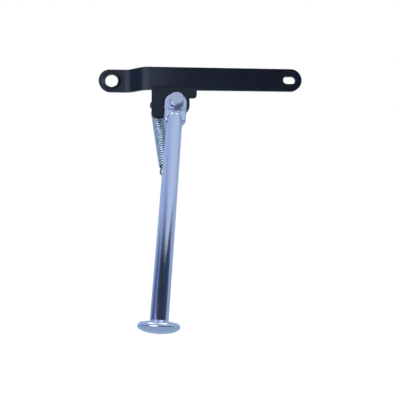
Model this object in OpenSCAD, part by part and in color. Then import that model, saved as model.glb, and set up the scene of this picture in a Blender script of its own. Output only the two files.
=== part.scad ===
// Bicycle kickstand: a bracket for two bolts, a folding leg and a spring that holds it either way.
// The origin is the centre of the axle hole, on the outboard face of the bracket.
// +X runs along the strap to the slot, +Z is up and -Y is outboard. The leg is down.

/* [Strap] */
// Height of the strap, also the width of its round ends
strap_w = 19; // [16:0.5:24]
// Thickness of the sheet steel that the bracket is pressed from
sheet_t = 3; // [2.5:0.25:3.5]
// Distance between the centres of the axle hole and the slot
hole_to_slot = 152.5; // [130:0.5:180]
// Distance from the centre of each end hole to that end of the strap
end_margin = 10.85; // [10:0.25:14]
// Diameter of the axle hole
axle_hole_d = 11; // [9:0.25:11.5]
// Outer diameter of the pressed ring round the axle hole
ring_d = 16.6; // [14:0.2:17]
// Height of the pressed ring
ring_h = 0.6; // [0.3:0.1:1]
// Width of the slot
slot_w = 6.5; // [5:0.25:8.5]
// End-to-end length of the slot
slot_len = 10.9; // [9:0.1:14]

/* [Joggle] */
// How far the strap stands outboard of the axle lug
joggle_offset = 9.5; // [7:0.5:12]
// Distance from the axle hole to the start of the joggle
joggle_start = 10.5; // [9:0.5:12]
// Slope of the joggle
joggle_angle = 35; // [30:1:40]
// Inner radius of its two bends
joggle_r = 12; // [8:0.5:14]

/* [Ear] */
// Tilt of the ear, which splays the leg outboard
ear_tilt = 19; // [10:0.5:25]
// Height of the bend line, below the middle of the strap
bend_drop = 7.5; // [6:0.25:9]
// Inner radius of the bend between strap and ear
ear_bend_r = 8; // [4:0.5:12]
// Width of the sheared slits at both ends of that bend
slit_w = 0.2; // [0.1:0.05:0.5]
// Distance along the strap from the axle hole to the pivot
pivot_x = 54.6; // [52:0.1:70]
// Distance down the ear from the bend line to the pivot
pivot_drop = 15.8; // [14.5:0.1:20]
// Radius of the ear round the pivot
ear_r = 11; // [10:0.1:11.8]
// Distance from the pivot to the ear's axle-side edge
ear_left = 20.6; // [20:0.1:23]
// Distance from the pivot down to the end of the deployed stop
stop_reach = 12.4; // [12:0.1:14]
// Distance from the pivot to the slot-side edge of the folded stop
fold_stop_x = 17.4; // [16:0.1:19]
// Height of the folded stop's lower edge above the pivot
fold_stop_z = 6.7; // [6:0.1:7]
// Radius of the ear's corners
corner_r = 3; // [1:0.1:3.2]

/* [Leg] */
// Outer diameter of the leg's tube
tube_d = 13; // [12:0.25:14]
// Wall of the leg's tube
tube_wall = 1.5; // [1:0.1:2]
// Distance from the pivot to the lower end of the tube
leg_len = 174; // [150:1:220]
// Lean of the leg to the axle side when it is down
lean = 5; // [0:0.5:8]
// Distance from the pivot to the tube's centre line, on the axle side
pivot_offset = 0.6; // [0:0.1:1]
// Thickness of the flattened lug at the top of the leg
lug_t = 3; // [2.6:0.1:3.4]
// Half width of the flattened lug
lug_r = 9.15; // [8.5:0.05:9.6]
// Distance from the pivot to the top of the lug
lug_over = 7.8; // [7.6:0.1:9]
// Distance from the pivot to the crease where the lug's flat face ends
crease_drop = 7.6; // [7:0.1:9]
// Distance from the pivot to the end of the lug's full width
shoulder_drop = 18.5; // [17:0.5:22]
// Length over which the shoulders run into the tube
shoulder_len = 5.5; // [4:0.5:8]
// Depth of the shoulders in front of the leg's middle plane
shoulder_depth = 2.6; // [2.2:0.1:3]

/* [Foot] */
// Diameter of the foot
foot_d = 29.4; // [24:0.2:36]
// Depth of the foot's rim below the end of the tube
foot_rim = 3.7; // [3:0.1:5]
// Rounding of the foot's upper edge
foot_edge = 3; // [2:0.1:4]
// Fall of the foot's top between the tube and the rounding
foot_fall = 0.8; // [0.2:0.1:1.5]
// Height of the domed sole
sole_h = 4.75; // [3:0.25:7]
// Length of the foot's spigot inside the tube
spigot_len = 9; // [5:0.5:15]

/* [Pivot] */
// Diameter of the rivet's shank
rivet_d = 8; // [6:0.25:8.5]
// Diameter of the rivet's head
rivet_head_d = 11.6; // [10.5:0.1:13]
// Height of the rivet's head over the lug, with its collar
rivet_head_h = 5; // [3:0.25:6]
// Diameter of the collar under the rivet's head
rivet_collar_d = 9.4; // [9:0.1:10.4]
// Height of that collar
rivet_collar_h = 1.7; // [0.5:0.1:2]
// Diameter of the rivet's closed end
rivet_tail_d = 10.8; // [10:0.1:12]
// Height of the rivet's closed end
rivet_tail_h = 1.4; // [1:0.1:2]
// Thickness of the washer between lug and ear
pivot_washer_t = 0.5; // [0.3:0.1:1]
// Outer diameter of that washer
pivot_washer_d = 15; // [13:0.25:15]
// Thickness of the washer under the rivet's closed end
tail_washer_t = 1; // [0.8:0.1:1.5]
// Outer diameter of that washer
tail_washer_d = 14; // [13:0.25:16]
// Running clearance of the leg on its rivet
run_gap = 0.06; // [0.03:0.01:0.1]
// Gap between the leg and either stop
stop_gap = 0.3; // [0.1:0.05:0.4]

/* [Spring] */
// Diameter of the spring's wire
wire_d = 1.5; // [1.2:0.1:1.7]
// Outer diameter of the coils
coil_d = 10.9; // [10:0.1:12]
// Number of whole coils between the loops
coils = 26; // [18:1:28]
// Distance from the pivot to the upper spring post, to the axle side
upper_post_x = 17.2; // [16.5:0.1:17.5]
// Height of the upper spring post above the pivot
upper_post_z = 6.9; // [5:0.1:8]
// Distance down the leg from the pivot to the lower spring post
lower_post_drop = 59.1; // [55:0.1:75]
// Distance of the lower spring post from the tube's centre line
lower_post_side = 3.1; // [1:0.1:3.5]
// Diameter of the spring posts
post_d = 5; // [4.4:0.1:5.4]
// Diameter of the groove that holds the spring's loop
post_groove_d = 3.2; // [2.6:0.1:3.6]
// Diameter of the spring posts' heads
post_head_d = 6; // [5.6:0.1:7]
// Gap between the loops and their posts, and behind the rivet
loop_gap = 0.2; // [0.1:0.05:0.35]

/* [Hidden] */
$fn = 96;
paint = "#2a2e3a";
chrome = "#c3cbe0";
zinc = "#a9b4c6";
big = 60;
sliver = 0.01;
bend_steps = 8;

// Strap and joggle
strap_end = hole_to_slot + end_margin;
ramp_len = (joggle_offset - (2 * joggle_r + sheet_t) * (1 - cos(joggle_angle))) / sin(joggle_angle);
ramp_from = [joggle_start + joggle_r * sin(joggle_angle), -joggle_r * (1 - cos(joggle_angle))];
ramp_to = ramp_from + ramp_len * [cos(joggle_angle), -sin(joggle_angle)];
outer_bend = ramp_to + (joggle_r + sheet_t) * [sin(joggle_angle), cos(joggle_angle)];

// Ear, in the ear's own plane with the pivot at the origin
bend_reach = ear_bend_r * tan(ear_tilt / 2);
slit_top = bend_drop - bend_reach - 0.4;
mid_plane = pivot_washer_t + run_gap + lug_t / 2;
tube_r = tube_d / 2;
stop_half = sqrt(tube_r * tube_r - mid_plane * mid_plane);
stop_line = pivot_offset + stop_half + stop_gap;

// Leg
bore_r = tube_r - tube_wall;
tube_top = 9;
nose_len = 9.5;
nose_drop = 10;
relief_r = norm([ear_r, fold_stop_z]) + stop_gap;
foot_r = foot_d / 2;

// Spring
wire_r = wire_d / 2;
coil_r = (coil_d - wire_d) / 2;
tail_top = sheet_t + tail_washer_t + rivet_tail_h;
spring_y = tail_top + loop_gap + coil_d / 2;
groove_w = wire_d + 0.6;
post_head_t = 1.5;
loop_drop = coil_r - wire_r - post_groove_d / 2 - loop_gap;
lower_post_x = -pivot_offset - lower_post_side;
upper_post = [-upper_post_x, upper_post_z];
lower_post_at = [lower_post_x * cos(lean) - lower_post_drop * sin(lean),
    -lower_post_x * sin(lean) - lower_post_drop * cos(lean)];
post_span = norm(upper_post - lower_post_at);
spring_turn = atan2(upper_post.x - lower_post_at.x, upper_post.y - lower_post_at.y);
wire_sides = 8;
ring_step = 30;
loop_end = 50;
coil_start = 135;
coil_top = -loop_drop - coil_r - wire_r / 2;
coil_len = post_span + 2 * coil_top;
turning = 360 * coils + 2 * coil_start - 180;

// Stands flat shapes up: drawn in X and Z, and thick from y0 to y1
module across(y0, y1) {
    translate([0, y1, 0]) rotate([90, 0, 0]) linear_extrude(height = y1 - y0) children();
}

// Draws flat shapes in Y and Z, and runs them from x0 to x1
module along_x(x0, x1) {
    translate([x0, 0, 0]) rotate([90, 0, 90]) linear_extrude(height = x1 - x0) children();
}

// A round bar or hole along Y
module bar(r, y0, y1) {
    translate([0, y1, 0]) rotate([90, 0, 0]) cylinder(r = r, h = y1 - y0);
}

// Frame of the ear: the pivot's axis is Y, through the origin on the ear's outboard face
module in_ear() {
    translate([pivot_x, -joggle_offset, -bend_drop])
        rotate([-ear_tilt, 0, 0]) translate([0, 0, -pivot_drop]) children();
}

// Frame of the leg: in its middle plane, with the leg along -Z
module in_leg() {
    in_ear() translate([0, -mid_plane, 0]) rotate([0, lean, 0]) children();
}

// Points on an arc, from one angle to another
function arc(centre, r, from, to) =
    [for (i = [0 : bend_steps]) let(a = from + (to - from) * i / bend_steps) centre + r * [cos(a), sin(a)]];

// Top view of the strap with its joggle
module strap_profile() {
    inner_bend = [joggle_start, -joggle_r];
    far = joggle_r + sheet_t;
    polygon([[-end_margin, 0],
        each arc(inner_bend, joggle_r, 90, 90 - joggle_angle),
        each arc(outer_bend, far, 270 - joggle_angle, 270),
        [strap_end, -joggle_offset], [strap_end, sheet_t - joggle_offset],
        each arc(outer_bend, joggle_r, 270, 270 - joggle_angle),
        each arc(inner_bend, far, 90 - joggle_angle, 90),
        [-end_margin, sheet_t]]);
}

// End view of the sheet where it bends from the strap into the ear
module ear_profile() {
    bend = [-joggle_offset - ear_bend_r, bend_reach - bend_drop];
    tip = bend + big * [-sin(ear_tilt), -cos(ear_tilt)];
    across_sheet = [cos(ear_tilt), -sin(ear_tilt)];
    polygon([[-joggle_offset, 0],
        each arc(bend, ear_bend_r, 0, -ear_tilt),
        tip + ear_bend_r * across_sheet, tip + (ear_bend_r + sheet_t) * across_sheet,
        each arc(bend, ear_bend_r + sheet_t, -ear_tilt, 0),
        [sheet_t - joggle_offset, 0]]);
}

// Side view of the strap, with round ends
module strap_outline() {
    for (x = [strap_w / 2 - end_margin, strap_end - strap_w / 2])
        translate([x, 0]) circle(d = strap_w);
    translate([strap_w / 2 - end_margin, -strap_w / 2])
        square([strap_end + end_margin - strap_w, strap_w]);
}

// Side view of the ear with both stops, which runs on up over the strap
module ear_outline() {
    circle(r = ear_r);
    square([ear_r, fold_stop_z + corner_r]);
    translate([-ear_left, fold_stop_z + corner_r]) square([ear_left + fold_stop_x, big]);
    translate([0, fold_stop_z]) square([fold_stop_x - corner_r, big]);
    translate([fold_stop_x - corner_r, fold_stop_z + corner_r]) circle(r = corner_r);
    translate([-ear_left, corner_r - stop_reach])
        square([ear_left - lug_r, big]);
    translate([corner_r - ear_left, corner_r - stop_reach]) circle(r = corner_r);
    intersection() {
        translate([corner_r - ear_left, -stop_reach]) square([ear_left, stop_reach]);
        rotate(-lean) translate([-stop_line - big, -big]) square([big, 2 * big]);
    }
}

module pressed_ring() {
    rotate([90, 0, 0]) rotate_extrude()
        polygon([[axle_hole_d / 2, 0], [ring_d / 2, 0], [ring_d / 2 - ring_h, ring_h],
            [axle_hole_d / 2 + ring_h / 2, ring_h], [axle_hole_d / 2, ring_h / 2]]);
}

module slot_cut() {
    travel = (slot_len - slot_w) / 2;
    translate([hole_to_slot, 0, 0]) across(-big, big) {
        for (x = [-travel, travel]) translate([x, 0]) circle(d = slot_w);
        square([2 * travel, slot_w], center = true);
    }
}

module bracket() color(paint) difference() {
    union() {
        difference() {
            intersection() {
                linear_extrude(height = strap_w, center = true) strap_profile();
                across(-big, big) strap_outline();
            }
            translate([pivot_x - ear_left - slit_w, -joggle_offset - sheet_t, -strap_w - slit_top])
                cube([ear_left + fold_stop_x + 2 * slit_w, 3 * sheet_t, strap_w]);
        }
        intersection() {
            along_x(pivot_x - big, pivot_x + big) ear_profile();
            in_ear() across(-big, big) ear_outline();
        }
        pressed_ring();
    }
    bar(axle_hole_d / 2, -big, big);
    slot_cut();
    in_ear() {
        bar(rivet_d / 2, -big, big);
        translate([upper_post.x, 0, upper_post.y]) bar(post_groove_d / 2, -sheet_t, 2 * sheet_t);
    }
}

// Head outboard of the lug, shank through the stack and a closed end behind its washer
module pivot_rivet() color(chrome) in_ear() {
    face = -mid_plane - lug_t / 2 - run_gap;
    edge = 0.5;
    rotate([90, 0, 0]) rotate_extrude()
        polygon([[0, -tail_top], [rivet_tail_d / 2 - rivet_tail_h, -tail_top],
            [rivet_tail_d / 2, -tail_top + rivet_tail_h], [rivet_d / 2, -tail_top + rivet_tail_h],
            [rivet_d / 2, -face], [rivet_collar_d / 2, -face],
            [rivet_collar_d / 2, rivet_collar_h - face],
            [rivet_head_d / 2, rivet_collar_h - face],
            [rivet_head_d / 2, rivet_head_h - edge - face],
            [rivet_head_d / 2 - edge, rivet_head_h - face], [0, rivet_head_h - face]]);
}

module washer(outer_d, y0, y1) {
    difference() {
        bar(outer_d / 2, y0, y1);
        bar(rivet_d / 2 + run_gap, y0 - 1, y1 + 1);
    }
}

module pivot_washer() color(zinc) in_ear() washer(pivot_washer_d, -pivot_washer_t, 0);

module tail_washer() color(zinc) in_ear()
    washer(tail_washer_d, sheet_t, sheet_t + tail_washer_t);

// A grooved post along +Y: its shank starts at y0, its shoulder at y1 and the groove is at groove_y
module grooved_post(shank_r, y0, y1, groove_y) {
    bar(shank_r, y0, y1);
    bar(post_d / 2, y1, groove_y - groove_w / 2);
    bar(post_groove_d / 2, groove_y - groove_w / 2, groove_y + groove_w / 2);
    bar(post_head_d / 2, groove_y + groove_w / 2, groove_y + groove_w / 2 + post_head_t);
}

module upper_post() color(zinc) in_ear()
    translate([upper_post.x, 0, upper_post.y])
        grooved_post(post_groove_d / 2, 0, sheet_t, spring_y);

// Side view of the flattened lug and its shoulders
module lug_outline() {
    translate([-pivot_offset, 0]) {
        translate([0, lug_over - lug_r]) circle(r = lug_r);
        translate([-lug_r, -shoulder_drop]) square([2 * lug_r, shoulder_drop + lug_over - lug_r]);
        polygon([[-lug_r, -shoulder_drop], [-tube_r, -shoulder_drop - shoulder_len],
            [tube_r, -shoulder_drop - shoulder_len], [lug_r, -shoulder_drop]]);
    }
}

// Edge view of the same: flat behind, and thicker in front below the crease
module lug_profile() {
    low = -shoulder_drop - shoulder_len;
    rise = 1.4 * (shoulder_depth - lug_t / 2) + 1.5;
    polygon([[lug_t / 2, lug_over], [-lug_t / 2, lug_over], [-lug_t / 2, -crease_drop],
        [-shoulder_depth, -crease_drop - rise], [-shoulder_depth, low], [lug_t / 2, low]]);
}

// The rounded nose where the tube rises out of the flattened lug
module tube_nose() {
    base = nose_drop + nose_len;
    translate([0, 0, -base]) rotate_extrude()
        polygon([[0, 0], for (a = [0 : 10 : 90]) [tube_r * cos(a), nose_len * sin(a)]]);
}

module leg_tube() color(chrome) in_leg() difference() {
    union() {
        intersection() {
            across(-big, big) lug_outline();
            along_x(-big, big) lug_profile();
        }
        translate([-pivot_offset, 0, 0]) {
            tube_nose();
            translate([0, 0, -leg_len]) cylinder(r = tube_r, h = leg_len - nose_drop - nose_len);
            intersection() {
                translate([0, 0, -nose_drop - nose_len])
                    cylinder(r = tube_r, h = nose_drop + nose_len - tube_top);
                translate([-tube_r, 0, -big]) cube([tube_d, tube_r, big]);
            }
        }
    }
    translate([-pivot_offset, 0, -leg_len - 1]) {
        cylinder(r = bore_r, h = leg_len + 1 - nose_drop - nose_len);
        translate([0, 0, leg_len + 1 - nose_drop - nose_len - sliver])
            cylinder(r1 = bore_r, r2 = bore_r / 4, h = nose_len / 2);
    }
    bar(rivet_d / 2 + run_gap, -big, big);
    translate([0, lug_t / 2, 0]) rotate([-90, 0, 0])
        cylinder(r1 = relief_r, r2 = relief_r + 2, h = tube_r);
    translate([lower_post_x, 0, -lower_post_drop]) bar(post_groove_d / 2, 0, tube_d);
}

// Domed steel foot with a spigot that is pressed into the tube and welded
module foot() color(chrome) in_leg() translate([-pivot_offset, 0, -leg_len]) {
    side = foot_r - foot_edge;
    rotate_extrude()
        polygon([[0, spigot_len], [bore_r - 1, spigot_len], [bore_r, spigot_len - 1],
            [bore_r, 0], [tube_r, 0],
            for (a = [90 : -15 : 0]) [side + foot_edge * cos(a),
                -foot_rim + (foot_rim - foot_fall) * sin(a)],
            for (a = [10 : 10 : 90]) [foot_r * cos(a), -foot_rim - sole_h * sin(a)]]);
}

module lower_post() color(zinc) in_leg()
    translate([lower_post_x, 0, -lower_post_drop])
        grooved_post(post_groove_d / 2, bore_r / 2, tube_r, spring_y + mid_plane);

// A point of a curve with two end points and two handles
function curve(a, b, c, d, t) =
    a * pow(1 - t, 3) + 3 * b * t * pow(1 - t, 2) + 3 * c * t * t * (1 - t) + d * pow(t, 3);

// Points on the coils, where travel is the angle turned from the top
function coil_point(travel) = [coil_r * cos(coil_start - travel),
    coil_r * sin(coil_start - travel), coil_top - coil_len * travel / turning];
function loop_point(a) = [coil_r * cos(a), 0, coil_r * sin(a) - loop_drop];

// The upper loop, from its free end over the post and down to the first coil
function loop_path() = let(
        a = loop_point(180 + loop_end),
        a_way = [-sin(loop_end), 0, -cos(loop_end)],
        b = coil_point(0),
        b_way = [sin(coil_start), -cos(coil_start), 0])
    [for (t = [-loop_end : ring_step / 2 : 179 + loop_end]) loop_point(t),
        for (t = [0 : 0.2 : 1]) curve(a, a - coil_r / 3 * [a_way.x, 0, a_way.z] * -1,
            b - coil_r / 3 * b_way, b, t)];

// The coils and the lower loop, which is the upper one turned half round
function coil_path() = let(upper = loop_path(), n = len(upper))
    [for (t = [4 : ring_step : turning - ring_step / 2]) coil_point(t),
        for (i = [n - 1 : -1 : 0]) [-upper[i].x, upper[i].y, -post_span - upper[i].z]];

function unit(v) = v / norm(v);
function heading(p, i) = unit(p[min(i + 1, len(p) - 1)] - p[max(i - 1, 0)]);

// Side directions of the wire at each point, carried along the path without twist
function sides(p) = [for (i = 0, s = unit(cross(heading(p, 0), [0.3, 1, 0.2])); i < len(p);
    i = i + 1, s = i < len(p) ? unit(s - (s * heading(p, i)) * heading(p, i)) : s) s];

// A round wire along a path, with flat ends
module wire(p) {
    n = wire_sides;
    across_wire = sides(p);
    rings = [for (i = [0 : len(p) - 1]) let(s = across_wire[i], u = cross(heading(p, i), s))
        for (k = [0 : n - 1]) p[i] + wire_r * (cos(360 * k / n) * s + sin(360 * k / n) * u)];
    last = (len(p) - 1) * n;
    polyhedron(points = rings, faces = [
        [for (k = [0 : n - 1]) k],
        for (i = [0 : len(p) - 2], k = [0 : n - 1])
            [i * n + k, (i + 1) * n + k, (i + 1) * n + (k + 1) % n, i * n + (k + 1) % n],
        [for (k = [n - 1 : -1 : 0]) last + k]]);
}

// Frame of the spring: the upper post is the origin and the spring hangs along -Z
module in_spring() {
    in_ear() translate([upper_post.x, spring_y, upper_post.y])
        rotate([0, spring_turn, 0]) children();
}

module spring_hook() color(zinc) in_spring() wire(loop_path());

module spring_coil() color(zinc) in_spring() wire(coil_path());

bracket();
pivot_rivet();
pivot_washer();
tail_washer();
upper_post();
leg_tube();
foot();
lower_post();
spring_hook();
spring_coil();
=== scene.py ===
from math import atan2, cos, degrees, exp, pi, radians, sin, sqrt, tan

import bmesh
import bpy
from mathutils import Matrix, Vector


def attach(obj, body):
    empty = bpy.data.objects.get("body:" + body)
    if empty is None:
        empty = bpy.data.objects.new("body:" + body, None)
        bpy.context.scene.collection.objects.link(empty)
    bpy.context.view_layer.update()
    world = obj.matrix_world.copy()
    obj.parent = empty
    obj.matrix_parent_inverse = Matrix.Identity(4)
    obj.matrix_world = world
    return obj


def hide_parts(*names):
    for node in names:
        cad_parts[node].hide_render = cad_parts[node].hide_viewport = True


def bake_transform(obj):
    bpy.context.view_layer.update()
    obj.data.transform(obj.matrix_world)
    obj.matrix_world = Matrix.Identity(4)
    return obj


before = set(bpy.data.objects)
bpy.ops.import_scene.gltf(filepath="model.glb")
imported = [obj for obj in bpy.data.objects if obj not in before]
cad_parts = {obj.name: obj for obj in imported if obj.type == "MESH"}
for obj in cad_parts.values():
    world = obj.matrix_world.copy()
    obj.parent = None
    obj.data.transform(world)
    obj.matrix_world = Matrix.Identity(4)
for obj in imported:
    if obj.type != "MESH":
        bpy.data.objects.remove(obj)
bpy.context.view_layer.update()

# Sizes are in millimetres, as in the CAD source, and become metres when a piece is put in its place.
MM = 0.001

# Bracket, pressed from 3 mm strip
SHEET = 3.0
STRAP_H = 19.0
END_MARGIN = 10.85
HOLE_TO_SLOT = 152.5
STRAP_END = HOLE_TO_SLOT + END_MARGIN
AXLE_HOLE_R = 5.5
SLOT_W, SLOT_LEN = 6.5, 10.9
JOGGLE_START, JOGGLE_DROP = 10.5, 9.5
JOGGLE_ANGLE, JOGGLE_R = radians(35), 12.0
STRAP_SOFT, EAR_SOFT, HOLE_SOFT = 0.55, 0.5, 0.25

# Ring round the axle hole: its slope is steps in from its edge, each with its share of the height
RING_R, RING_H, RING_EDGE = 8.3, 0.6, 0.02
RING_SLOPE = [(1.0, 0.5), (1.9, 0.92), (2.2, 1.0)]
RING_BORE, RING_ROOT = 3.0, 1.0

# Ear, bent out of the strap's lower edge
EAR_TILT = radians(19)
BEND_DROP, BEND_R = 7.5, 17.0
PIVOT_X, PIVOT_DROP = 54.6, 15.8
EAR_LEFT, EAR_R, EAR_TOP = 20.6, 11.0, -1.0
STOP_REACH, STOP_GAP, STOP_ROOT = 12.4, 0.3, 0.72 * EAR_R
STOP_TIP_R, STOP_ROOT_R, NOTCH_R = 0.3, 1.0, 0.4
FOLD_STOP_X, FOLD_STOP_Z, CORNER_R = 17.4, 6.7, 3.0

# Blanks and punches: what is trimmed off, how far each tool reaches to either side, and the ear's slit
TRIM, BLANK = 2.0, 40.0
OUTLINE_REACH, EAR_REACH, PUNCH_REACH = 40.0, 30.0, 20.0
SLIT_LAP, SLIT_RISE, SLIT_REACH, SLIT_DEPTH = 0.6, 0.4, 9.0, 30.0
FULL_ROUND_GAP = 0.002

# Pivot stack
WASHER_T, RUN_GAP, LUG_T = 0.5, 0.06, 3.0
MID_PLANE = WASHER_T + RUN_GAP + LUG_T / 2
RIVET_R = 4.0
HEAD_R, HEAD_H, HEAD_CHAMFER, HEAD_FLAT = 5.8, 5.0, 0.4, 1.0
COLLAR_R, COLLAR_H = 4.7, 1.7
TAIL_R, TAIL_H = 5.4, 1.4
TAIL_WASHER_T, TAIL_WASHER_R = 1.0, 7.0
WASHER_R, WASHER_SOFT = 7.5, 0.12
TAIL_TOP = SHEET + TAIL_WASHER_T + TAIL_H

# Leg: its distances run down from the pivot, and the fins' run sideways from the tube's middle
TUBE_R, LEG_LEN = 6.5, 174.0
LEAN, PIVOT_OFFSET = radians(5), 0.6
LUG_R, LUG_OVER, RIM_ROUND = 9.15, 7.8, 0.45
LUG_ARC = LUG_R - LUG_OVER
CREASE, CREASE_RISE = 7.0, 2.2
SHOULDER, SHOULDER_LEN, SHOULDER_LEAD = 18.0, 5.0, 0.8
FIN_DEPTH, FIN_FROM, FIN_TO = 3.2, 3.5, 7.5
MID_DEPTH = 2.1
GROOVE_H, GROOVE_W = 0.5, 0.7
NOSE_TOP, NOSE_LEN, NOSE_BLUNT = 10.6, 6.0, 2.5
POCKET_R, POCKET_FROM, POCKET_TO = 13.3, 0.1, 1.3

# Foot, with its weld bead as steps out from the tube and up from the foot
FOOT_R, FOOT_RIM, FOOT_EDGE, FOOT_FALL, SOLE_H = 14.7, 3.7, 3.0, 0.8, 4.75
WELD_BEAD = [(-0.1, 0.6), (0.2, 0.1), (0.7, -0.1), (2.4, -0.3)]

# Spring and posts
WIRE_R, COIL_D, COILS, LOOP_GAP = 0.75, 10.9, 26, 0.2
LOOP_END, COIL_START, WIRE_STEP, BEND_PULL = 50, 135, 12, 1.2
UPPER_POST = Vector((-17.2, 0, 6.9))
LOWER_DROP, LOWER_SIDE = 59.1, 3.1
POST_R, GROOVE_R, GROOVE_ROOM = 2.5, 1.6, 0.3
POST_HEAD_R, POST_HEAD_T = 3.0, 1.5
UPPER_SHANK, LOWER_SHANK = (0.05, SHEET), (3.0, 5.2)

# Lathe jobs: a profile begins and ends in a flat of this radius at the axis
AXIS_R = 0.05
LATHE_SIDES, TUBE_SIDES, POST_SIDES = 96, 128, 48
PROFILE_ROUND = 0.3

# The ear's frame has the pivot at its origin, with its axis along Y. The leg's frame hangs in it, in the
# lug's middle plane, and the tube's frame is a little to its left.
EAR = (Matrix.Translation((PIVOT_X, -JOGGLE_DROP, -BEND_DROP))
       @ Matrix.Rotation(-EAR_TILT, 4, "X") @ Matrix.Translation((0, 0, -PIVOT_DROP)))
LEG = EAR @ Matrix.Translation((0, -MID_PLANE, 0)) @ Matrix.Rotation(LEAN, 4, "Y")
TUBE = LEG @ Matrix.Translation((-PIVOT_OFFSET, 0, 0))
HERE = Matrix.Identity(4)

# These turn a lathe job's +Z to -Y, away from the bicycle, and to +Y, towards it.
OUTBOARD = Matrix.Rotation(pi / 2, 4, "X")
INBOARD = Matrix.Rotation(-pi / 2, 4, "X")


# Modelling
def deselect():
    if bpy.context.object and bpy.context.object.mode == "EDIT":
        bpy.ops.object.mode_set(mode="OBJECT")
    bpy.ops.object.select_all(action="DESELECT")


def started(name):
    """The primitive just added, named, with its place and size in its mesh."""
    bpy.ops.object.transform_apply(location=True, rotation=True, scale=True)
    piece = bpy.context.object
    piece.name = piece.data.name = name
    return piece


def active(piece):
    deselect()
    piece.select_set(True)
    bpy.context.view_layer.objects.active = piece


def edit(piece):
    active(piece)
    bpy.ops.object.mode_set(mode="EDIT")


def pick(piece, kind, test):
    """Selects the edges whose two ends pass a test, or the faces whose middle and normal pass it."""
    bpy.ops.mesh.select_mode(type={"edges": "EDGE", "faces": "FACE"}[kind])
    bpy.ops.mesh.select_all(action="DESELECT")
    mesh = bmesh.from_edit_mesh(piece.data)
    for part in getattr(mesh, kind):
        if kind == "edges":
            hit = test(part.verts[0].co, part.verts[1].co)
        else:
            hit = test(part.calc_center_median(), part.normal)
        if hit:
            part.select = True
    mesh.select_flush_mode()
    bmesh.update_edit_mesh(piece.data)


def extrude(move):
    """Draws the selected faces out by a vector."""
    bpy.ops.mesh.extrude_region_move(TRANSFORM_OT_translate={"value": move})


def face_outwards():
    bpy.ops.mesh.select_all(action="SELECT")
    bpy.ops.mesh.normals_make_consistent(inside=False)
    bpy.ops.object.mode_set(mode="OBJECT")


def close_seams(gap):
    """Merges vertices nearer than the gap, turns the faces outwards and leaves edit mode."""
    bpy.ops.mesh.select_all(action="SELECT")
    bpy.ops.mesh.remove_doubles(threshold=gap)
    face_outwards()


def finish_with(piece, kind, **settings):
    """Adds a modifier with its settings and applies it."""
    active(piece)
    change = piece.modifiers.new(kind.title(), kind)
    for key, value in settings.items():
        setattr(change, key, value)
    bpy.ops.object.modifier_apply(modifier=change.name)


def cut(piece, tool, operation="DIFFERENCE"):
    """Cuts a tool out of a piece, or joins or keeps what the operation says, and takes the tool away."""
    finish_with(piece, "BOOLEAN", object=tool, operation=operation, solver="MANIFOLD")
    bpy.data.objects.remove(tool)


def block(name, low, high):
    """A box between two corners."""
    deselect()
    low, high = Vector(low), Vector(high)
    bpy.ops.mesh.primitive_cube_add(size=1, location=(low + high) / 2, scale=high - low)
    return started(name)


def turned(name, profile, sides=LATHE_SIDES, closed=False):
    """A lathe job about Z: a circle is extruded from one radius and height of the profile to the next."""
    deselect()
    (r, z), rest = profile[0], profile[1:]
    bpy.ops.mesh.primitive_circle_add(vertices=sides, radius=r, location=(0, 0, z),
                                      fill_type="NOTHING" if closed else "NGON")
    piece = started(name)
    edit(piece)
    bpy.ops.mesh.select_mode(type="EDGE" if closed else "FACE")
    bpy.ops.mesh.select_all(action="SELECT")
    for next_r, next_z in rest + ([profile[0]] if closed else []):
        if closed:
            bpy.ops.mesh.extrude_edges_move(TRANSFORM_OT_translate={"value": (0, 0, next_z - z)})
        else:
            extrude((0, 0, next_z - z))
        bpy.ops.transform.resize(value=(next_r / r, next_r / r, 1), center_override=(0, 0, next_z))
        r, z = next_r, next_z
    close_seams(gap=0.001)
    return piece


def rounded(profile, steps=3):
    """A profile with its inner corners rounded."""
    points = [profile[0]]
    for a, b, c in zip(profile, profile[1:], profile[2:]):
        a, b, c = Vector(a), Vector(b), Vector(c)
        reach = min(PROFILE_ROUND, (a - b).length * 0.45, (c - b).length * 0.45)
        start = b + (a - b).normalized() * reach
        end = b + (c - b).normalized() * reach
        for i in range(steps + 1):
            t = i / steps
            points.append(tuple(start * (1 - t) ** 2 + b * 2 * t * (1 - t) + end * t * t))
    return points + [profile[-1]]


def settle(piece, place, body, material, nodes, sharp=30, flat=False):
    """Puts a piece in its place, in metres, with its finish, body, slot and the CAD nodes it replaces.

    Edges sharper than a number of degrees stay sharp. With flat, the faces between rounds shade flat.
    """
    active(piece)
    piece.data.transform(Matrix.Scale(MM, 4) @ place)
    bpy.ops.object.shade_smooth_by_angle(angle=radians(sharp))
    if flat:
        finish_with(piece, "WEIGHTED_NORMAL", keep_sharp=True, weight=100)
    piece.data.materials.clear()
    piece.data.materials.append(material)
    if body:
        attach(piece, body)
    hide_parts(*nodes)


# Materials
def colour(code):
    """An sRGB hex value as linear RGBA."""
    parts = [int(code[i:i + 2], 16) / 255 for i in (1, 3, 5)]
    return tuple(c / 12.92 if c <= 0.04045 else ((c + 0.055) / 1.055) ** 2.4 for c in parts) + (1.0,)


def add(tree, kind, settings=None, **links):
    """Adds a node. Settings are its own fields or its inputs' values, and links are inputs fed by an output.

    An input goes by its name, or by its number as "#1" in the settings and i1 in the links. "#1" to "#4" of
    a Map Range are the ends of the range that it reads and of the one that it gives.
    """
    node = tree.nodes.new(kind)
    for key, value in (settings or {}).items():
        if hasattr(node, key):
            setattr(node, key, value)
        else:
            node.inputs[int(key[1:]) if key[0] == "#" else key].default_value = value
    for key, output in links.items():
        numbered = key[0] == "i" and key[1:].isdigit()
        socket = node.inputs[int(key[1:]) if numbered else key.replace("_", " ")]
        tree.links.new(output, socket)
    return node


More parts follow.
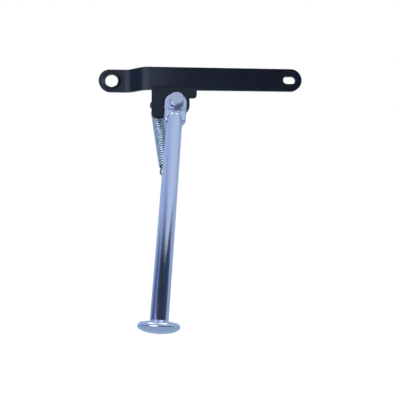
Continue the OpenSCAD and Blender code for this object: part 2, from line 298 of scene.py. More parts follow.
def stops(node, *pairs):
    """Sets a ramp's stops from positions and colours or plain values."""
    ramp = node.color_ramp
    while len(ramp.elements) < len(pairs):
        ramp.elements.new(0.5)
    for element, (position, value) in zip(ramp.elements, pairs):
        element.position = position
        element.color = colour(value) if isinstance(value, str) else (value, value, value, 1)
    return node


def new_material(name, **shader):
    material = bpy.data.materials.new(name)
    material.use_nodes = True
    tree = material.node_tree
    tree.nodes.clear()
    surface = add(tree, "ShaderNodeBsdfPrincipled", {k.replace("_", " "): v for k, v in shader.items()})
    add(tree, "ShaderNodeOutputMaterial", Surface=surface.outputs[0])
    where = add(tree, "ShaderNodeTexCoord").outputs["Object"]
    return material, tree, surface, where


def per_metre(millimetres):
    """Texture scale on Object coordinates for a feature of this size."""
    return 1000 / millimetres


# In shading alone, the sheet's face falls away between these two places along the strap, in metres, by this
# depth. It draws the shade that the photograph's gloss has there, and the mesh itself stays flat.
HOLLOW_FROM, HOLLOW_TO, HOLLOW_DEPTH = 0.062, 0.0305, 0.0011


def stoving_enamel():
    """Black stoving enamel, sprayed on pressed steel: satin, a little blue, with faint orange peel."""
    material, tree, surface, where = new_material(
        "black_stoving_enamel", Base_Color=colour("#060b18"), Roughness=0.36, Specular_IOR_Level=0.3)
    peel = add(tree, "ShaderNodeTexNoise",
               {"Scale": per_metre(2.2), "Detail": 2.0, "Roughness": 0.5}, Vector=where)
    bump = add(tree, "ShaderNodeBump", {"Strength": 0.10, "Distance": 0.0001}, Height=peel.outputs[0])
    along = add(tree, "ShaderNodeSeparateXYZ", Vector=where)
    fall = add(tree, "ShaderNodeMapRange",
               {"#1": HOLLOW_FROM, "#2": HOLLOW_TO, "#3": 0.0, "#4": 1.0}, Value=along.outputs[0])
    curve = add(tree, "ShaderNodeMath", {"operation": "MULTIPLY"}, i0=fall.outputs[0], i1=fall.outputs[0])
    hollow = add(tree, "ShaderNodeBump", {"Strength": 1.0, "Distance": HOLLOW_DEPTH, "invert": True},
                 Height=curve.outputs[0], Normal=bump.outputs[0])
    tree.links.new(hollow.outputs[0], surface.inputs["Normal"])
    dust = add(tree, "ShaderNodeTexNoise",
               {"Scale": per_metre(14), "Detail": 4.0, "Roughness": 0.6}, Vector=where)
    tone = stops(add(tree, "ShaderNodeValToRGB", Fac=dust.outputs[0]), (0.35, "#050a16"), (0.7, "#080e1d"))
    tree.links.new(tone.outputs[0], surface.inputs["Base Color"])
    rough = add(tree, "ShaderNodeMapRange",
                {"#1": 0.3, "#2": 0.75, "#3": 0.33, "#4": 0.40}, Value=dust.outputs[0])
    tree.links.new(rough.outputs[0], surface.inputs["Roughness"])
    return material


def chrome(name, tint, rough, pressed=None):
    """Bright chrome plate on steel: mirror-like, with a faint ripple.

    It is hazier where a press has been, within a reach of a centre, both in metres.
    """
    material, tree, surface, where = new_material(
        name, Base_Color=colour(tint), Metallic=1.0, Roughness=rough)
    ripple = add(tree, "ShaderNodeTexNoise",
                 {"Scale": per_metre(9), "Detail": 3.0, "Roughness": 0.55}, Vector=where)
    haze = add(tree, "ShaderNodeMapRange",
               {"#1": 0.35, "#2": 0.7, "#3": rough * 0.8, "#4": rough * 1.5}, Value=ripple.outputs[0])
    if pressed:
        centre, reach, more = pressed
        away = add(tree, "ShaderNodeVectorMath", {"operation": "DISTANCE", "#1": tuple(centre)}, i0=where)
        share = add(tree, "ShaderNodeMapRange",
                    {"#1": reach, "#2": reach * 1.25, "#3": more, "#4": 0.0}, Value=away.outputs["Value"])
        haze = add(tree, "ShaderNodeMath", {"operation": "ADD"}, i0=haze.outputs[0], i1=share.outputs[0])
    tree.links.new(haze.outputs[0], surface.inputs["Roughness"])
    bump = add(tree, "ShaderNodeBump", {"Strength": 0.06, "Distance": 0.0004}, Height=ripple.outputs[0])
    tree.links.new(bump.outputs[0], surface.inputs["Normal"])
    return material


def zinc(name, tint, rough, painted_shade=None):
    """Bright zinc plate: metal with a soft grain.

    A spring also gets painted shade, of the given dark colour, where its mesh's own attribute is high.
    """
    material, tree, surface, where = new_material(
        name, Base_Color=colour(tint), Metallic=1.0, Roughness=rough)
    grain = add(tree, "ShaderNodeTexNoise",
                {"Scale": per_metre(0.8), "Detail": 3.0, "Roughness": 0.6}, Vector=where)
    tone = add(tree, "ShaderNodeMapRange",
               {"#1": 0.3, "#2": 0.7, "#3": rough * 0.8, "#4": rough * 1.3}, Value=grain.outputs[0])
    tree.links.new(tone.outputs[0], surface.inputs["Roughness"])
    bump = add(tree, "ShaderNodeBump", {"Strength": 0.12, "Distance": 0.00005}, Height=grain.outputs[0])
    tree.links.new(bump.outputs[0], surface.inputs["Normal"])
    if painted_shade:
        # Painted shade: the mesh attribute darkens the wire towards the dark colour.
        inside = add(tree, "ShaderNodeAttribute", {"attribute_name": "inside"})
        shade_ramp = stops(add(tree, "ShaderNodeValToRGB", Fac=inside.outputs["Fac"]), (0.56, tint), (0.74, painted_shade))
        tree.links.new(shade_ramp.outputs[0], surface.inputs["Base Color"])
    return material


ENAMEL = stoving_enamel()
LEG_CHROME = chrome("chrome_plated_tube", "#cdd1de", 0.07, pressed=(EAR.translation * MM, 0.011, 0.3))
RIVET_CHROME = chrome("chrome_plated_rivet", "#c0c4c8", 0.12)
# The spring's dark colour is painted shade: inside the coils, under them and on the loops.
SPRING_ZINC = zinc("zinc_plated_spring_wire", "#dde6ec", 0.37, painted_shade="#27303c")
WASHER_ZINC = zinc("zinc_plated_steel", "#b4b8b9", 0.28)


# Bracket
def bend_sheet(centre, axis, angle, steps=12):
    """Bends on the sheet's selected end by the right-hand rule, which the spin operator turns round."""
    bpy.ops.mesh.spin(steps=steps, angle=-angle, center=centre, axis=axis)


def round_ends(piece, width, segments):
    """Gives a block that stands along Y fully round ends."""
    edit(piece)
    pick(piece, "edges", lambda a, b: abs(a.y - b.y) > 1)
    bpy.ops.mesh.bevel(offset=width / 2 - FULL_ROUND_GAP, segments=segments, affect="EDGES")


def soften(piece, width):
    """Rounds the sheared edges, as tumbling and paint do."""
    edit(piece)
    bpy.ops.mesh.select_all(action="SELECT")
    bpy.ops.mesh.dissolve_limited(angle_limit=radians(0.5))
    bpy.ops.object.mode_set(mode="OBJECT")
    finish_with(piece, "BEVEL", width=width, segments=3, limit_method="ANGLE", angle_limit=radians(40),
                use_clamp_overlap=True)


def strap():
    """Strip stock, bent twice for the joggle, then cut to the strap's outline."""
    piece = block("bracket_sheet", (-END_MARGIN - TRIM, 0, -STRAP_H), (JOGGLE_START, SHEET, STRAP_H))
    edit(piece)
    pick(piece, "faces", lambda middle, normal: normal.x > 0.9)
    bend_sheet((JOGGLE_START, -JOGGLE_R, 0), (0, 0, 1), -JOGGLE_ANGLE)
    run = (JOGGLE_DROP - (2 * JOGGLE_R + SHEET) * (1 - cos(JOGGLE_ANGLE))) / sin(JOGGLE_ANGLE)
    way = Vector((cos(JOGGLE_ANGLE), -sin(JOGGLE_ANGLE), 0))
    across = Vector((sin(JOGGLE_ANGLE), cos(JOGGLE_ANGLE), 0))
    extrude(way * run)
    bend_end = Vector((JOGGLE_START + JOGGLE_R * sin(JOGGLE_ANGLE), -JOGGLE_R * (1 - cos(JOGGLE_ANGLE)), 0))
    centre = bend_end + way * run + (JOGGLE_R + SHEET) * across
    bend_sheet(centre, (0, 0, 1), JOGGLE_ANGLE)
    extrude((STRAP_END + TRIM - centre.x, 0, 0))
    close_seams(gap=0.0005)
    outline = block("outline", (-END_MARGIN, -OUTLINE_REACH, -STRAP_H / 2),
                    (STRAP_END, OUTLINE_REACH, STRAP_H / 2))
    round_ends(outline, STRAP_H, 28)
    cut(piece, outline, "INTERSECT")
    soften(piece, STRAP_SOFT)
    return piece


def ear_edge():
    """The ear's outline with both stops, in the ear's frame: an arc stands at each corner with a radius."""
    stop_line = PIVOT_OFFSET + sqrt(TUBE_R ** 2 - MID_PLANE ** 2) + STOP_GAP
    corners = [(-EAR_LEFT, BLANK, 0), (-EAR_LEFT, -STOP_REACH, CORNER_R)]
    corners += [((-stop_line - drop * sin(LEAN)) / cos(LEAN), -drop, r)
                for drop, r in ((STOP_REACH, STOP_TIP_R), (STOP_ROOT, STOP_ROOT_R))]
    corners += [(EAR_R * sin(a), -EAR_R * cos(a), 0) for a in [radians(d) for d in range(-36, 91, 6)]]
    corners += [(EAR_R, FOLD_STOP_Z, NOTCH_R), (FOLD_STOP_X, FOLD_STOP_Z, CORNER_R), (FOLD_STOP_X, BLANK, 0)]
    edge = []
    for i, (x, z, r) in enumerate(corners):
        corner = Vector((x, z))
        if not r:
            edge.append(corner)
            continue
        before = (Vector(corners[i - 1][:2]) - corner).normalized() * r
        after = (Vector(corners[i + 1][:2]) - corner).normalized() * r
        for t in [radians(d) for d in range(0, 91, 10)]:
            edge.append(corner + before * (1 - sin(t)) + after * (1 - cos(t)))
    return edge


def ear():
    """The ear's sheet, bent about the bend line and cut to the ear's outline."""
    bend_z = BEND_R * tan(EAR_TILT / 2) - BEND_DROP
    piece = block("ear", (PIVOT_X - BLANK, -JOGGLE_DROP, bend_z),
                  (PIVOT_X + BLANK, SHEET - JOGGLE_DROP, EAR_TOP))
    edit(piece)
    pick(piece, "faces", lambda middle, normal: normal.z < -0.9)
    bend_sheet((0, -JOGGLE_DROP - BEND_R, bend_z), (1, 0, 0), -EAR_TILT, 8)
    extrude((0, -BLANK * sin(EAR_TILT), -BLANK * cos(EAR_TILT)))
    close_seams(gap=0.0005)
    deselect()
    bpy.ops.mesh.primitive_plane_add(size=1)
    outline = started("ear_outline")
    edit(outline)
    bpy.ops.mesh.delete(type="VERT")
    mesh = bmesh.from_edit_mesh(outline.data)
    mesh.faces.new([mesh.verts.new((p.x, -EAR_REACH, p.y)) for p in ear_edge()])
    bmesh.update_edit_mesh(outline.data)
    bpy.ops.mesh.select_all(action="SELECT")
    extrude((0, 2 * EAR_REACH, 0))
    face_outwards()
    outline.data.transform(EAR)
    cut(piece, outline, "INTERSECT")
    soften(piece, EAR_SOFT)
    return piece


def axle_ring():
    """The low ring round the axle hole, with a gentle slope up to its top."""
    profile = [(RING_BORE, -RING_ROOT), (RING_R, -RING_ROOT), (RING_R, RING_EDGE)]
    profile += [(RING_R - back, RING_H * share) for back, share in RING_SLOPE]
    ring = turned("axle_ring", profile + [(RING_BORE, RING_H)])
    ring.data.transform(OUTBOARD)
    return ring


def punches():
    """The tools that make the axle hole, the slot and the slit from which the ear is bent."""
    deselect()
    bpy.ops.mesh.primitive_cylinder_add(vertices=LATHE_SIDES, radius=AXLE_HOLE_R, depth=2 * PUNCH_REACH,
                                        rotation=(pi / 2, 0, 0))
    drill = started("axle_drill")
    slot = block("slot_punch", (HOLE_TO_SLOT - SLOT_LEN / 2, -PUNCH_REACH, -SLOT_W / 2),
                 (HOLE_TO_SLOT + SLOT_LEN / 2, PUNCH_REACH, SLOT_W / 2))
    round_ends(slot, SLOT_W, 16)
    slit_top = BEND_DROP - BEND_R * tan(EAR_TILT / 2) - SLIT_RISE
    slit = block("shear", (PIVOT_X - EAR_LEFT + SLIT_LAP, -JOGGLE_DROP - SLIT_REACH, -SLIT_DEPTH),
                 (PIVOT_X + FOLD_STOP_X - SLIT_LAP, -JOGGLE_DROP + SLIT_REACH, -slit_top))
    return drill, slot, slit


def on_a_hole(a, b):
    """Whether an edge lies in a face of the strap, on the rim of the axle hole or of the slot."""
    level, near = 0.05, 0.02
    if abs(a.y - b.y) >= level:
        return False
    on_axle_hole = max(abs(a.xz.length - AXLE_HOLE_R), abs(b.xz.length - AXLE_HOLE_R)) < near
    along = max(abs(a.x - HOLE_TO_SLOT), abs(b.x - HOLE_TO_SLOT)) < SLOT_LEN / 2 + near
    across = max(abs(a.z), abs(b.z)) < SLOT_W / 2 + near
    return on_axle_hole or along and across


def bracket():
    """The strap with its ring, holes and ear, in one piece."""
    piece = strap()
    cut(piece, axle_ring(), "UNION")
    for punch in punches():
        cut(piece, punch)
    cut(piece, ear(), "UNION")
    edit(piece)
    pick(piece, "edges", on_a_hole)
    bpy.ops.mesh.bevel(offset=HOLE_SOFT, segments=3, affect="EDGES")
    bpy.ops.object.mode_set(mode="OBJECT")
    settle(piece, HERE, "bracket", ENAMEL, ["bracket"], sharp=35, flat=True)


# Pivot
def pivot_rivet():
    """The rivet's tail on the inboard side, its shank, and its head on a collar."""
    face = MID_PLANE + LUG_T / 2 + RUN_GAP
    top = face + HEAD_H
    profile = [(AXIS_R, -TAIL_TOP), (TAIL_R - TAIL_H, -TAIL_TOP), (TAIL_R, TAIL_H - TAIL_TOP),
               (RIVET_R, TAIL_H - TAIL_TOP), (RIVET_R, face), (COLLAR_R, face), (COLLAR_R, face + COLLAR_H),
               (HEAD_R, face + COLLAR_H), (HEAD_R, top - HEAD_CHAMFER), (HEAD_R - HEAD_CHAMFER, top),
               (HEAD_R - HEAD_FLAT, top), (AXIS_R, top)]
    piece = turned("pivot_rivet_piece", rounded(profile))
    settle(piece, EAR @ OUTBOARD, "bracket", RIVET_CHROME, ["pivot_rivet"],
           sharp=35, flat=True)


def washer(node, outer, y0, y1):
    """A washer round the rivet between two places along Y, with its edges tumbled."""
    inner, soft = RIVET_R + RUN_GAP, WASHER_SOFT
    profile = [(inner, -y0 - soft), (inner + soft, -y0), (outer - soft, -y0), (outer, -y0 - soft),
               (outer, -y1 + soft), (outer - soft, -y1), (inner + soft, -y1), (inner, -y1 + soft)]
    piece = turned(node + "_piece", profile, closed=True)
    settle(piece, EAR @ OUTBOARD, "bracket", WASHER_ZINC, [node], sharp=50)


# Leg and foot
def smooth_max(a, b, n=7):
    """The larger of two heights, with a soft valley where they cross."""
    m = max(a, b)
    return m * ((a / m) ** n + (b / m) ** n) ** (1 / n) if m > 1e-6 else 0.0


def ease(x, low, high):
    t = min(max((x - low) / (high - low), 0), 1)
    return t * t * (3 - 2 * t)


def lug_half_width(s):
    """Half width of the flattened tube at a distance below the pivot."""
    if s < LUG_ARC:
        return sqrt(max(LUG_R ** 2 - (LUG_ARC - s) ** 2, 0))
    if s < SHOULDER:
        return LUG_R
    return LUG_R + (TUBE_R - LUG_R) * ease(s, SHOULDER - SHOULDER_LEAD, SHOULDER + SHOULDER_LEN)


def fold(d, h):
    """Height of a sheet's edge with a full round, at a distance in from the edge."""
    return sqrt(max(h * h - max(h - d, 0) ** 2, 0))


def slab(s, x, h):
    """Height of the pressed flat on one side: thinned to its rim on the arc, a full round below it."""
    if s > LUG_ARC:
        away = 1 - ease(s, SHOULDER, SHOULDER + SHOULDER_LEN)
        return fold(lug_half_width(s) - abs(x), h) * away
    rim = lug_half_width(s) - abs(x)
    if s < LUG_ARC:
        rim = LUG_R - sqrt(x * x + (LUG_ARC - s) ** 2)
    trim = min(max(rim, 0) / RIM_ROUND, 1)
    return h * sqrt(1 - (1 - trim) ** 2)


def nose(s, x):
    """Height of the round end in which the tube comes out of the pressed flat."""
    if s <= NOSE_TOP:
        return 0.0
    full = NOSE_TOP + NOSE_LEN
    reach = TUBE_R
    if s < full:
        reach = TUBE_R * (1 - ((full - s) / NOSE_LEN) ** NOSE_BLUNT) ** (1 / NOSE_BLUNT)
    return sqrt(max(reach * reach - x * x, 0))


def leg_section(s, x):
    """Heights of the front and the rear surface, from the lug's middle plane."""
    edge = ease(abs(x), FIN_FROM, FIN_TO)
    depth = MID_DEPTH + (FIN_DEPTH - MID_DEPTH) * edge
    groove = GROOVE_H * edge * exp(-((s - CREASE) / GROOVE_W) ** 2)
    front_h = LUG_T / 2 - groove + (depth - LUG_T / 2) * ease(s, CREASE, CREASE + CREASE_RISE)
    tube = sqrt(max(TUBE_R ** 2 - x * x, 0))
    pocket = ease(sqrt(x * x + s * s), POCKET_R + POCKET_FROM, POCKET_R + POCKET_TO)
    return smooth_max(slab(s, x, front_h), nose(s, x)), smooth_max(slab(s, x, LUG_T / 2), tube * pocket)


def leg_levels():
    """Distances below the pivot at which the leg's pressed end gets a ring: arc, flat, crease and nose."""
    arc_rings, flat_rings, formed_rings, spacing = 26, 5, 59, 0.3
    formed_from = CREASE - 0.2
    levels = [LUG_ARC - LUG_R * cos(pi / 2 * i / arc_rings) for i in range(1, arc_rings + 1)]
    levels += [LUG_ARC + (formed_from - LUG_ARC) * i / flat_rings for i in range(1, flat_rings + 1)]
    return levels + [formed_from + spacing * i for i in range(1, formed_rings + 1)]


def leg_tube():
    """The tube is one drawn piece whose top is pressed flat.

    No primitive and no operator gives the change from round to flat, so its rings are set out one by one,
    and the plain tube below is extruded.
    """
    levels = leg_levels()
    tube_top = -levels[-1] - 1
    deselect()
    bpy.ops.mesh.primitive_circle_add(vertices=TUBE_SIDES, radius=TUBE_R, location=(0, 0, tube_top))
    piece = started("leg_tube_piece")
    edit(piece)
    bpy.ops.mesh.select_all(action="SELECT")
    bpy.ops.mesh.extrude_edges_move(TRANSFORM_OT_translate={"value": (0, 0, -tube_top - LEG_LEN)})
    mesh = bmesh.from_edit_mesh(piece.data)
    rings = []
    for s in levels:
        half = lug_half_width(s)
        ring = []
        for i in range(TUBE_SIDES):
            a = pi / 2 + 2 * pi * i / TUBE_SIDES
            x = half * cos(a)
            front, rear = leg_section(s, x)
            ring.append(mesh.verts.new((x, rear if sin(a) > 0 else -front, -s)))
        rings.append(ring)
    top_of_tube = [v for v in mesh.verts if abs(v.co.z - tube_top) < 0.01]
    rings.append(sorted(top_of_tube, key=lambda v: atan2(-v.co.x, v.co.y) % (2 * pi)))
    for upper, lower in zip(rings, rings[1:]):
        for i in range(TUBE_SIDES):
            j = (i + 1) % TUBE_SIDES
            mesh.faces.new((upper[i], upper[j], lower[j], lower[i]))
    mesh.faces.new(rings[0])
    bmesh.update_edit_mesh(piece.data)
    close_seams(gap=0.0005)
    settle(piece, TUBE, "leg", LEG_CHROME, ["leg_tube"], sharp=40)


def foot():
    """The domed foot: weld bead, rounded shoulder and sole."""
    side = FOOT_R - FOOT_EDGE
    profile = [(TUBE_R + out, up) for out, up in WELD_BEAD]
    for a in [radians(d) for d in range(90, -1, -9)]:
        profile.append((side + FOOT_EDGE * cos(a), -FOOT_RIM + (FOOT_RIM - FOOT_FALL) * sin(a)))
    for a in [radians(d) for d in range(6, 91, 6)]:
        profile.append((max(FOOT_R * cos(a), AXIS_R), -FOOT_RIM - SOLE_H * sin(a)))
    piece = turned("foot_piece", profile, TUBE_SIDES)
    tube_end = TUBE @ Matrix.Translation((0, 0, -LEG_LEN))
    settle(piece, tube_end, "leg", LEG_CHROME, ["foot"], sharp=50)


# Spring and posts, with the spring's frame on the upper post and its Z up the spring
COIL_R = COIL_D / 2 - WIRE_R
SPRING_Y = TAIL_TOP + LOOP_GAP + COIL_D / 2
LOOP_DROP = COIL_R - WIRE_R - GROOVE_R - LOOP_GAP
LOWER_X = -PIVOT_OFFSET - LOWER_SIDE
LOWER_POST = Vector((LOWER_X * cos(LEAN) - LOWER_DROP * sin(LEAN), 0,
                     -LOWER_X * sin(LEAN) - LOWER_DROP * cos(LEAN)))
POST_SPAN = (UPPER_POST - LOWER_POST).length
SPRING_TURN = atan2(UPPER_POST.x - LOWER_POST.x, UPPER_POST.z - LOWER_POST.z)
SPRING = (EAR @ Matrix.Translation((UPPER_POST.x, SPRING_Y, UPPER_POST.z))
          @ Matrix.Rotation(SPRING_TURN, 4, "Y"))
COIL_TOP = -LOOP_DROP - COIL_R - WIRE_R / 2
COIL_LEN = POST_SPAN + 2 * COIL_TOP


def grooved_post(node, shank, groove_y, place, body):
    """A post with a thin shank between two places along Y, and a groove for the spring's loop."""
    y0, y1 = shank
    low, high = groove_y - WIRE_R - GROOVE_ROOM, groove_y + WIRE_R + GROOVE_ROOM
    profile = [(AXIS_R, y0), (GROOVE_R, y0), (GROOVE_R, y1), (POST_R, y1), (POST_R, low), (GROOVE_R, low),
               (GROOVE_R, high), (POST_HEAD_R, high), (POST_HEAD_R, high + POST_HEAD_T),
               (AXIS_R, high + POST_HEAD_T)]
    piece = turned(node + "_piece", rounded(profile, steps=2), POST_SIDES)
    settle(piece, place @ INBOARD, body, WASHER_ZINC, [node], sharp=25)


def spring_path():
    """Points on the wire's middle: upper loop, its bend into the coils, the coils, and the lower loop."""
    loop_end, coil_start = radians(LOOP_END), radians(COIL_START)
    turning = 2 * pi * COILS + 2 * coil_start - pi

    def on_coil(t):
        x, y = COIL_R * cos(coil_start - t), COIL_R * sin(coil_start - t)
        return Vector((x, y, COIL_TOP - COIL_LEN * t / turning))

    def on_loop(a):
        return Vector((COIL_R * cos(a), 0, COIL_R * sin(a) - LOOP_DROP))

    upper = [on_loop(radians(d)) for d in range(-LOOP_END, 179 + LOOP_END, WIRE_STEP)]
    a, b = on_loop(pi + loop_end), on_coil(0)
    c = a + Vector((sin(loop_end), 0, -cos(loop_end))) * COIL_R / 3 * BEND_PULL
    d = b - Vector((sin(coil_start), -cos(coil_start), 0)) * COIL_R / 3 * BEND_PULL
    for t in [i / 6 for i in range(7)]:
        upper.append(a * (1 - t) ** 3 + c * 3 * t * (1 - t) ** 2 + d * 3 * t * t * (1 - t) + b * t ** 3)
    steps = int(degrees(turning) / WIRE_STEP)
    middle = [on_coil(turning * i / steps) for i in range(1, steps)]
    lower = [Vector((-p.x, p.y, -POST_SPAN - p.z)) for p in reversed(upper)]
    return upper + middle + lower


# Painted shade on the spring, as values of a mesh attribute: a base value, more on the coils' inner side and
# underside, and the loops dark
SHADE_BASE, SHADE_INSIDE, SHADE_BELOW, LOOP_SHADE = 0.5, 0.4, 0.3, 0.69


def spring():
    """One wire: a loop on each post and the coils between them."""
    path = spring_path()
    deselect()
    wire = bpy.data.curves.new("spring_wire", "CURVE")
    wire.dimensions = "3D"
    wire.bevel_depth = WIRE_R
    wire.bevel_resolution = 3
    wire.use_fill_caps = True
    line = wire.splines.new("POLY")
    line.points.add(len(path) - 1)
    for point, place in zip(line.points, path):
        point.co = (*place, 1)
    drawn = bpy.data.objects.new("spring_wire", wire)
    bpy.context.scene.collection.objects.link(drawn)
    active(drawn)
    bpy.ops.object.convert(target="MESH")
    piece = bpy.context.object
    edit(piece)
    close_seams(gap=0.001)
    # Painted shade: the coils' inner side and underside, and both loops, are marked for the dark colour.
    inside = piece.data.attributes.new("inside", "FLOAT", "POINT")
    for value, vertex in zip(inside.data, piece.data.vertices):
        inward = -vertex.normal.xy.dot(vertex.co.xy.normalized())
        below = -vertex.normal.z
        value.value = SHADE_BASE + SHADE_INSIDE * inward + SHADE_BELOW * below
        if not COIL_TOP > vertex.co.z > COIL_TOP - COIL_LEN:
            value.value = LOOP_SHADE
    settle(piece, SPRING, None, SPRING_ZINC, ["spring_hook", "spring_coil"], sharp=60)
    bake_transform(piece)


# Studio, in metres. Its light is cool daylight, and the part hangs free above the floor.
DAYLIGHT = (0.93, 0.96, 1.0)
FLOOR_Z, FLOOR_SIZE = -0.262, 6

# What the metal mirrors, in degrees round the part, 0 in front of it and rising to the right, and in degrees
# above the horizon: a pale dome, a dark room in front whose left and right edges draw in with height, a wall
# over it, a light high on either side, and a bright window low in the room.
DOME = [(-180, "#c4d2ea"), (-150, "#b8cdf0"), (-90, "#bed3fa"), (-30, "#c6d9ff"), (5, "#cfe1ff"),
        (60, "#d2e3ff"), (84, "#cadbff"), (112, "#b4c5e4"), (140, "#bacae6"), (180, "#c4d2ea")]
ROOM = [(-120, "#60739c"), (-90, "#5a6a98"), (-78, "#606fa0"), (-64, "#8e9bd0"), (-50, "#525e84"),
        (-34, "#3a455c"), (0, "#35404f"), (45, "#384560"), (80, "#44597c")]
ROOM_LEFT = [(0, -120), (7, -113), (14, -105), (20, -94), (23, -82), (26, -66), (29, -53), (34, -44)]
ROOM_RIGHT = [(3, 91), (11, 86), (17, 77), (20, 71), (23, 58), (26, 34), (29, 16), (34, -2)]
ROOM_BLUR = 15
WALL_ROUND = [(-96, 0.0), (-62, 1.0), (-36, 1.0), (0, 0.0)]
WINDOW_ROUND = [(-54, 0.0), (-46, 1.0), (-12, 1.0), (2, 0.0)]
LIGHTS_ROUND = [(-140, 0.0), (-115, 1.0), (-84, 1.0), (-68, 0.0),
                (68, 0.0), (84, 1.0), (115, 1.0), (140, 0.0)]
WALL_PAINT, LIGHTS_GLOW, WINDOW_GLOW = colour("#9fb4e2"), (2.2, 2.3, 2.4, 1), (0.64, 0.72, 1.0, 1)
WINDOW_GAIN = 7.0

# Soft edges over the height: from where to where, and from how much to how much
ROOM_TOP = (29.5, 41, 1.0, 0.0)
WALL_TOP = (36, 47, 0.8, 0.0)
LIGHTS_FOOT = (50, 58, 0.0, 1.0)
WINDOW_TOP = (16.5, 21.5, 1.0, 0.0)
WINDOW_FOOT = (2, 8, 0.0, 1.0)
SMOOTH = {"interpolation_type": "SMOOTHSTEP"}

# The camera stands where the photograph's perspective puts it, in millimetres.
CAMERA_PLACE = Vector((41.46, -360.53, -102.71))
CAMERA_YAW, CAMERA_ROLL = radians(5.258), radians(-0.638)
FOCAL_PX, FRAME_PX, SENSOR = 416.5, 400, 36.0


def studio_floor():
    """Matt paper: white to the camera but for the part's shadow, and a pale blue to the metal."""
    deselect()
    bpy.ops.mesh.primitive_grid_add(x_subdivisions=8, y_subdivisions=8, size=FLOOR_SIZE,
                                    location=(0, 0, FLOOR_Z))
    floor = started("floor")
    material = bpy.data.materials.new("matt_white_paper")
    material.use_nodes = True
    tree = material.node_tree
    tree.nodes.clear()
    ray = add(tree, "ShaderNodeLightPath")

    # The camera gets nearly all of its own white, a little over 1 so that no horizon shows, and a share of
    # the lit paper, which keeps the shadow.
    paper = add(tree, "ShaderNodeBsdfDiffuse", {"Color": colour("#f4f4f4")})
    mirrored = add(tree, "ShaderNodeEmission", {"Color": colour("#a6bdd8"), "Strength": 1.0})
    seen = add(tree, "ShaderNodeEmission", {"Color": (1, 1, 1, 1), "Strength": 1.03})
    white_share = add(tree, "ShaderNodeMath",
                      {"operation": "MULTIPLY", "#1": 0.93}, i0=ray.outputs["Is Camera Ray"])
    one = add(tree, "ShaderNodeMixShader",
              i0=ray.outputs["Is Glossy Ray"], i1=paper.outputs[0], i2=mirrored.outputs[0])
    two = add(tree, "ShaderNodeMixShader", i0=white_share.outputs[0], i1=one.outputs[0], i2=seen.outputs[0])
    add(tree, "ShaderNodeOutputMaterial", Surface=two.outputs[0])
    floor.data.materials.append(material)


def mirrored_studio(tree):
    """The painted studio's colour and its window's share, by the direction of a ray."""
    way = add(tree, "ShaderNodeSeparateXYZ", Vector=add(tree, "ShaderNodeTexCoord").outputs["Generated"])
    forward = add(tree, "ShaderNodeMath", {"operation": "MULTIPLY", "#1": -1.0}, i0=way.outputs[1])
    azimuth = add(tree, "ShaderNodeMath", {"operation": "ARCTAN2"}, i0=way.outputs[0], i1=forward.outputs[0])
    elevation = add(tree, "ShaderNodeMath", {"operation": "ARCSINE"}, i0=way.outputs[2])
    around = add(tree, "ShaderNodeMapRange",
                 {"#1": -pi, "#2": pi, "#3": 0.0, "#4": 1.0}, Value=azimuth.outputs[0]).outputs[0]
    height = add(tree, "ShaderNodeMapRange",
                 {"#1": -pi / 2, "#2": pi / 2, "#3": 0.0, "#4": 1.0}, Value=elevation.outputs[0]).outputs[0]

    painted = []
    for paint in (DOME, ROOM, WALL_ROUND, LIGHTS_ROUND, WINDOW_ROUND):
        ramp = add(tree, "ShaderNodeValToRGB", Fac=around)
        painted.append(stops(ramp, *[(turn / 360 + 0.5, value) for turn, value in paint]).outputs[0])
    dome, room, wall_round, lights_round, window_round = painted
    room_ends = []
    for side in (ROOM_LEFT, ROOM_RIGHT):
        ramp = add(tree, "ShaderNodeValToRGB", Fac=height)
        room_ends.append(stops(ramp, *[(up / 180 + 0.5, turn / 360 + 0.5) for up, turn in side]).outputs[0])
    left, right = room_ends
    bands = []
    for low, high, start, end in (ROOM_TOP, WALL_TOP, LIGHTS_FOOT, WINDOW_TOP, WINDOW_FOOT):
        ends = {"#1": radians(low), "#2": radians(high), "#3": start, "#4": end}
        band = add(tree, "ShaderNodeMapRange", {**ends, **SMOOTH}, Value=elevation.outputs[0])
        bands.append(band.outputs[0])
    room_top, wall_top, lights_foot, window_top, window_foot = bands
    sides = []
    for higher, lower in ((around, left), (right, around)):
        past = add(tree, "ShaderNodeMath", {"operation": "SUBTRACT"}, i0=higher, i1=lower)
        ends = {"#1": -ROOM_BLUR / 360, "#2": ROOM_BLUR / 360, "#3": 0.0, "#4": 1.0}
        sides.append(add(tree, "ShaderNodeMapRange", {**ends, **SMOOTH}, Value=past.outputs[0]).outputs[0])

    shares = []
    for factors in ((lights_foot, lights_round), (wall_top, wall_round), (*sides, room_top),
                    (window_round, window_top, window_foot)):
        share = factors[0]
        for factor in factors[1:]:
            share = add(tree, "ShaderNodeMath", {"operation": "MULTIPLY"}, i0=share, i1=factor).outputs[0]
        shares.append(share)
    lights_share, wall_share, room_share, window_share = shares
    lit = add(tree, "ShaderNodeMix", {"data_type": "RGBA", "#7": LIGHTS_GLOW}, i0=lights_share, i6=dome)
    walled = add(tree, "ShaderNodeMix",
                 {"data_type": "RGBA", "#7": WALL_PAINT}, i0=wall_share, i6=lit.outputs[2])
    roomed = add(tree, "ShaderNodeMix", {"data_type": "RGBA"}, i0=room_share, i6=walled.outputs[2], i7=room)
    studio = add(tree, "ShaderNodeMix",
                 {"data_type": "RGBA", "#7": WINDOW_GLOW}, i0=window_share, i6=roomed.outputs[2])
    return studio.outputs[2], window_share


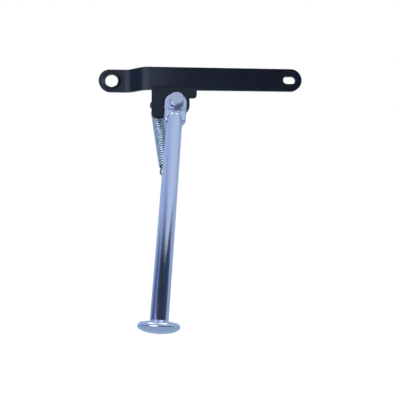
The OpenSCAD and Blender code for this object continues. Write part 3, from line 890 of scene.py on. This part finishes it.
def studio_world():
    """White to the camera, even daylight on the part, and a painted studio for what the metal mirrors."""
    world = bpy.data.worlds.new("studio")
    bpy.context.scene.world = world
    world.use_nodes = True
    tree = world.node_tree
    tree.nodes.clear()
    ray = add(tree, "ShaderNodeLightPath")
    studio, window_share = mirrored_studio(tree)
    brightness = add(tree, "ShaderNodeMath",
                     {"operation": "MULTIPLY_ADD", "#1": WINDOW_GAIN, "#2": 1.0}, i0=window_share)
    mirrored = add(tree, "ShaderNodeBackground", Color=studio, Strength=brightness.outputs[0])
    even = add(tree, "ShaderNodeBackground", {"Color": (*DAYLIGHT, 1), "Strength": 0.85})
    seen = add(tree, "ShaderNodeBackground", {"Color": (1, 1, 1, 1), "Strength": 1.0})
    one = add(tree, "ShaderNodeMixShader",
              i0=ray.outputs["Is Glossy Ray"], i1=even.outputs[0], i2=mirrored.outputs[0])
    two = add(tree, "ShaderNodeMixShader",
              i0=ray.outputs["Is Camera Ray"], i1=one.outputs[0], i2=seen.outputs[0])
    add(tree, "ShaderNodeOutputWorld", Surface=two.outputs[0])


def softbox(name, place, target, size, watts):
    """A lamp that lights the part and isn't mirrored by it: the painted studio has its own lights."""
    deselect()
    bpy.ops.object.light_add(type="AREA", location=place)
    lamp = bpy.context.object
    lamp.name = name
    lamp.data.shape = "RECTANGLE"
    lamp.data.size, lamp.data.size_y = size
    lamp.data.energy = watts
    lamp.data.color = DAYLIGHT
    lamp.visible_glossy = False
    lamp.rotation_euler = (Vector(target) - Vector(place)).to_track_quat("-Z", "Y").to_euler()


def studio_camera():
    """The photograph's camera: level, turned a little to the right and rolled a little."""
    forward = Vector((sin(CAMERA_YAW), cos(CAMERA_YAW), 0))
    right, up = Vector((cos(CAMERA_YAW), -sin(CAMERA_YAW), 0)), Vector((0, 0, 1))
    x = right * cos(CAMERA_ROLL) + up * sin(CAMERA_ROLL)
    y = -right * sin(CAMERA_ROLL) + up * cos(CAMERA_ROLL)
    camera = bpy.data.objects.new("camera", bpy.data.cameras.new("camera"))
    camera.data.sensor_width = SENSOR
    camera.data.lens = FOCAL_PX / FRAME_PX * SENSOR
    camera.data.clip_start, camera.data.clip_end = 0.01, 20
    place = Matrix((x, y, -forward)).transposed().to_4x4()
    place.translation = CAMERA_PLACE * MM
    camera.matrix_world = place
    bpy.context.scene.collection.objects.link(camera)
    bpy.context.scene.camera = camera


# The kickstand, piece by piece
bracket()
pivot_rivet()
washer("pivot_washer", WASHER_R, -WASHER_T, 0)
washer("tail_washer", TAIL_WASHER_R, SHEET, SHEET + TAIL_WASHER_T)
leg_tube()
foot()
grooved_post("upper_post", UPPER_SHANK, SPRING_Y, EAR @ Matrix.Translation(UPPER_POST), "bracket")
grooved_post("lower_post", LOWER_SHANK, SPRING_Y + MID_PLANE,
             LEG @ Matrix.Translation((LOWER_X, 0, -LOWER_DROP)), "leg")
spring()

# The studio
studio_floor()
studio_world()
softbox("overhead_softbox", place=(-0.25, -0.35, 0.75), target=(0.06, 0, -0.06), size=(0.7, 0.5), watts=4.0)
softbox("front_lamp", place=(-0.339, -0.801, 0.215), target=(0.03, -0.01, 0), size=(0.655, 0.24), watts=3.0)
studio_camera()
bpy.context.scene.view_settings.view_transform = "Standard"
